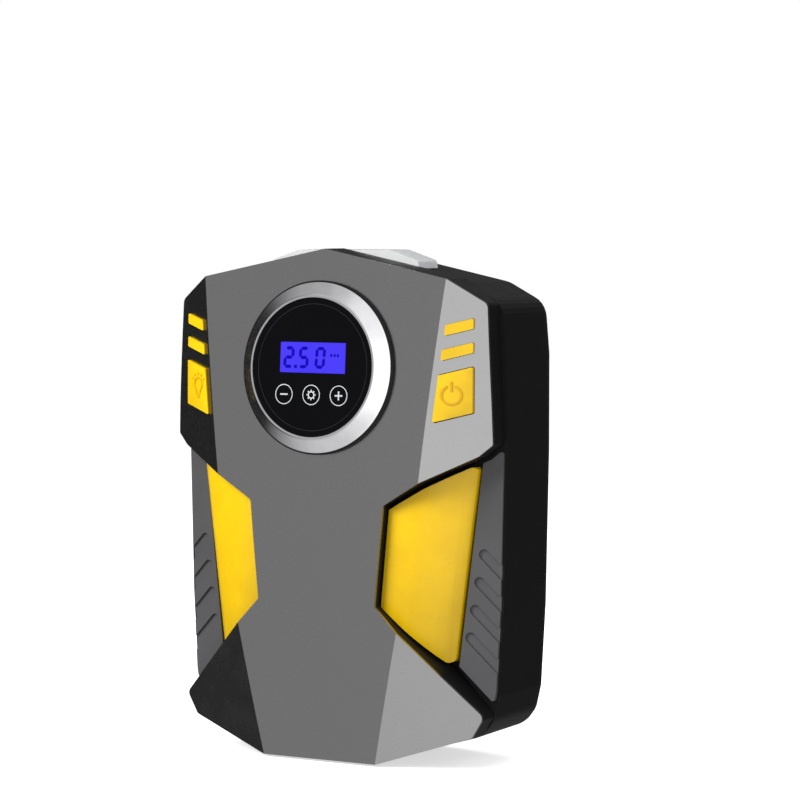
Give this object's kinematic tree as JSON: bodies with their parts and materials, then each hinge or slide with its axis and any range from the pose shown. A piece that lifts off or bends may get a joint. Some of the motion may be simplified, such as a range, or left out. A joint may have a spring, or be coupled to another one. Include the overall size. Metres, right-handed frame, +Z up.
{
  "type": "digital tyre inflator",
  "caption": "Portable car tyre inflator: upright case with armoured front, round pressure display, side grips, push buttons, top work light and rear hose bay with a hinged door.",
  "frame": {"origin": "on the ground under the middle of the case", "axes": "+X right seen from the front, +Y to the back, +Z up"},
  "size_m": [0.144, 0.0687, 0.1988],
  "materials": {
    "fascia_paint": "satin metallic grey paint",
    "black_shell": "fine moulded texture",
    "yellow_plastic": "satin moulded",
    "slate_plastic": "fine moulded texture",
    "ring_metal": "satin, bright inner lip",
    "dark_lens": "polished",
    "lcd_blue": "lit display",
    "backlight": "translucent white",
    "circuit_board": "solder mask",
    "component_black": "moulded",
    "white_plastic": "moulded",
    "lamp_clear": "clear, ribbed inside",
    "led_yellow": "phosphor",
    "steel": "plated",
    "zinc_casting": "as cast",
    "rubber_black": "matt",
    "brass": "turned",
    "bronze": "sintered",
    "ferrite": "ground",
    "copper_winding": "enamelled wire on a laminated core",
    "gear_nylon": "moulded",
    "tube_grey": "smooth"
  },
  "bodies": {
    "case": {"front_fascia": "fascia_paint", "front_shell": "black_shell", "rear_housing": "black_shell", "storage_bay": "black_shell", "left_grip": "yellow_plastic", "right_grip": "yellow_plastic", "left_side_panel": "slate_plastic", "right_side_panel": "slate_plastic", "bezel_base": "black_shell", "bezel_ring": "ring_metal", "display_lens": "dark_lens", "lcd_panel": "lcd_blue", "lcd_backlight": "backlight", "display_board": "circuit_board", "display_switches": "component_black", "power_switch": "component_black", "light_switch": "component_black", "left_accent_bars": "yellow_plastic", "right_accent_bars": "yellow_plastic", "main_board": "circuit_board", "board_components": "component_black", "pressure_sensor": "white_plastic", "lamp_lens": "lamp_clear", "lamp_board": "white_plastic", "lamp_leds": "led_yellow", "door_hinge_pin": "steel", "cord_gland": "rubber_black", "rubber_feet": "rubber_black", "housing_screws": "steel", "gearbox_frame": "zinc_casting", "frame_screws": "steel", "frame_bushes": "rubber_black", "motor_can": "steel", "motor_end_cap": "component_black", "motor_bushes": "bronze", "motor_magnets": "ferrite", "crank_bearing": "steel", "air_cylinder": "zinc_casting", "cylinder_head": "zinc_casting", "head_screws": "steel", "air_tube": "tube_grey", "sensor_tube": "tube_grey", "hose_port": "brass"},
    "power_button": {"power_button": "yellow_plastic"},
    "light_button": {"light_button": "yellow_plastic"},
    "minus_key": {"minus_key": "dark_lens"},
    "set_key": {"set_key": "dark_lens"},
    "plus_key": {"plus_key": "dark_lens"},
    "storage_door": {"storage_door": "black_shell"},
    "rotor": {"motor_armature": "copper_winding", "motor_shaft": "steel", "cooling_fan": "component_black", "drive_pinion": "brass"},
    "crank": {"crank_gear": "gear_nylon", "crank_shaft": "steel"},
    "piston": {"piston_rod": "zinc_casting", "piston_seal": "white_plastic"}
  },
  "joints": [
    {"name": "power_press", "type": "slide", "parent": "case", "child": "power_button", "axis": [0, 1, 0], "range_m": [0, 0.0008], "stiffness_N_per_m": 500},
    {"name": "light_press", "type": "slide", "parent": "case", "child": "light_button", "axis": [0, 1, 0], "range_m": [0, 0.0008], "stiffness_N_per_m": 500},
    {"name": "minus_press", "type": "slide", "parent": "case", "child": "minus_key", "axis": [0, 0.9974, -0.0725], "range_m": [0, 0.0005], "stiffness_N_per_m": 300},
    {"name": "set_press", "type": "slide", "parent": "case", "child": "set_key", "axis": [0, 0.9974, -0.0725], "range_m": [0, 0.0005], "stiffness_N_per_m": 300},
    {"name": "plus_press", "type": "slide", "parent": "case", "child": "plus_key", "axis": [0, 0.9974, -0.0725], "range_m": [0, 0.0005], "stiffness_N_per_m": 300},
    {"name": "door_swing", "type": "hinge", "parent": "case", "child": "storage_door", "pos_m": [0.04865, 0.03125, 0.141], "axis": [0, 0, -1], "range_deg": [0, 90]},
    {"name": "motor_spin", "type": "hinge", "parent": "case", "child": "rotor", "pos_m": [0, 0.012, 0.05674], "axis": [1, 0, 0], "continuous": true},
    {"name": "crank_spin", "type": "hinge", "parent": "case", "child": "crank", "pos_m": [0, 0.007, 0.03], "axis": [1, 0, 0], "continuous": true},
    {"name": "piston_stroke", "type": "slide", "parent": "case", "child": "piston", "axis": [0, 0, 1], "range_m": [0, 0.016]}
  ],
  "couplings": [
    {"joint": "crank_spin", "follows": "motor_spin", "ratio": -0.33333}
  ]
}
